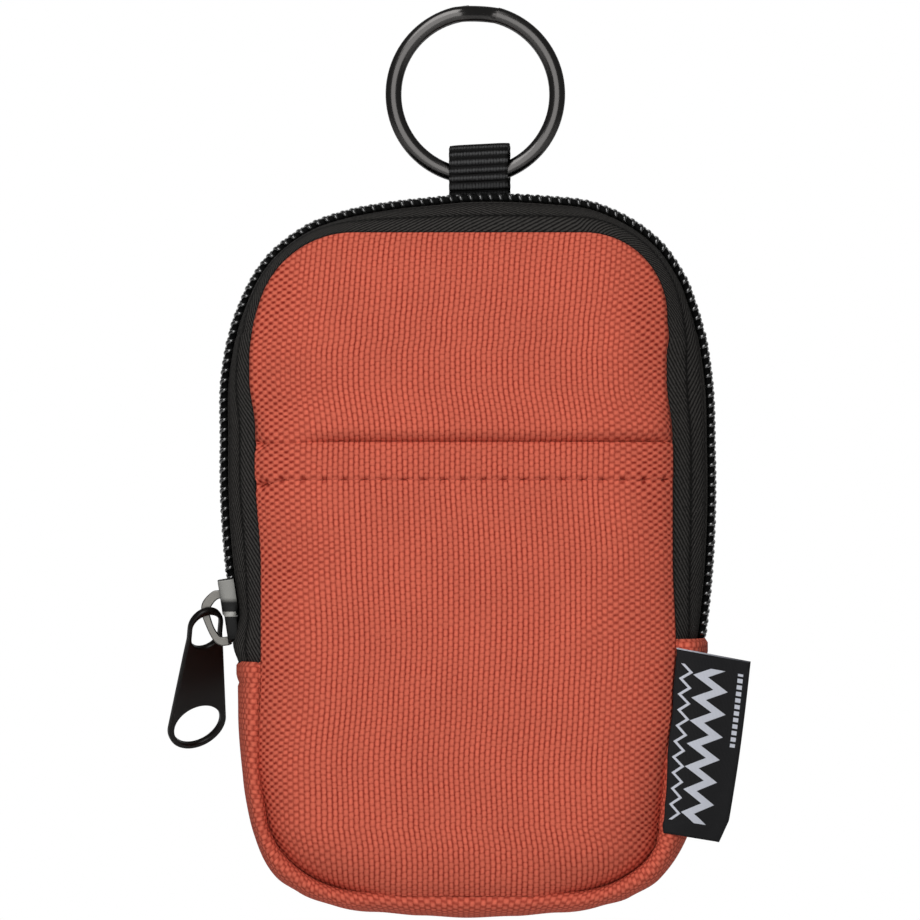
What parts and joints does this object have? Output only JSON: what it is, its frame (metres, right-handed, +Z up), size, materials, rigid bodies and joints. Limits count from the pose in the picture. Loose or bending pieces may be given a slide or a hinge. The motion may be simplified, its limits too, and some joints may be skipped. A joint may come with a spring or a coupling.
{
  "type": "pouch",
  "caption": "Small upright zip pouch of ribbed cloth with a front slip pocket, lower side band, side label, and a webbing loop on a split key ring.",
  "frame": {"origin": "inner top of the split ring, the point that the pouch hangs by", "axes": "+X to the right seen from the front, +Y from the front to the back, +Z up"},
  "size_m": [0.0982, 0.0345, 0.1522],
  "materials": {
    "terracotta_cloth": "matt ribbed nylon oxford",
    "black_tape": "matt herringbone tape",
    "black_webbing": "matt ribbed webbing",
    "black_coil": "satin nylon",
    "black_nickel": "polished black nickel plate",
    "gunmetal": "satin gunmetal plate",
    "black_slider": "satin black",
    "black_pull": "soft gloss black",
    "black_label": "matt woven"
  },
  "bodies": {
    "ring": {"split_ring": "black_nickel"},
    "pouch": {"webbing_loop": "black_webbing", "back_panel": "terracotta_cloth", "front_panel_lower": "terracotta_cloth", "pocket_lower": "terracotta_cloth", "side_band": "terracotta_cloth", "zip_tape_back": "black_tape", "zip_coil_back": "black_coil", "label": "black_label"},
    "flap": {"front_panel_upper": "terracotta_cloth", "pocket_upper": "terracotta_cloth", "zip_tape_front": "black_tape", "zip_coil_front": "black_coil"},
    "slider": {"slider_body": "black_slider", "slider_bridge": "gunmetal"},
    "pull": {"pull_tab": "black_pull"}
  },
  "joints": [
    {"name": "pouch_swing", "type": "hinge", "parent": "ring", "child": "pouch", "pos_m": [0, 0, -0.0257], "axis": [1, 0, 0], "range_deg": [-90, 90]},
    {"name": "front_opens", "type": "hinge", "parent": "pouch", "child": "flap", "pos_m": [-0.0014, -0.0211, -0.103], "axis": [1, 0, 0], "range_deg": [0, 70], "deforming": ["zip_tape_front", "zip_coil_front"]},
    {"name": "slider_travel", "type": "hinge", "parent": "pouch", "child": "slider", "pos_m": [0.1173, -0.0045, -0.0741], "axis": [0, -1, 0], "range_deg": [-14, 0], "deforming": ["zip_coil_back"]},
    {"name": "pull_swing", "type": "hinge", "parent": "slider", "child": "pull", "pos_m": [-0.04505, -0.004, -0.1018], "axis": [0.9114, 0.3596, 0.1999], "range_deg": [0, 60]}
  ]
}
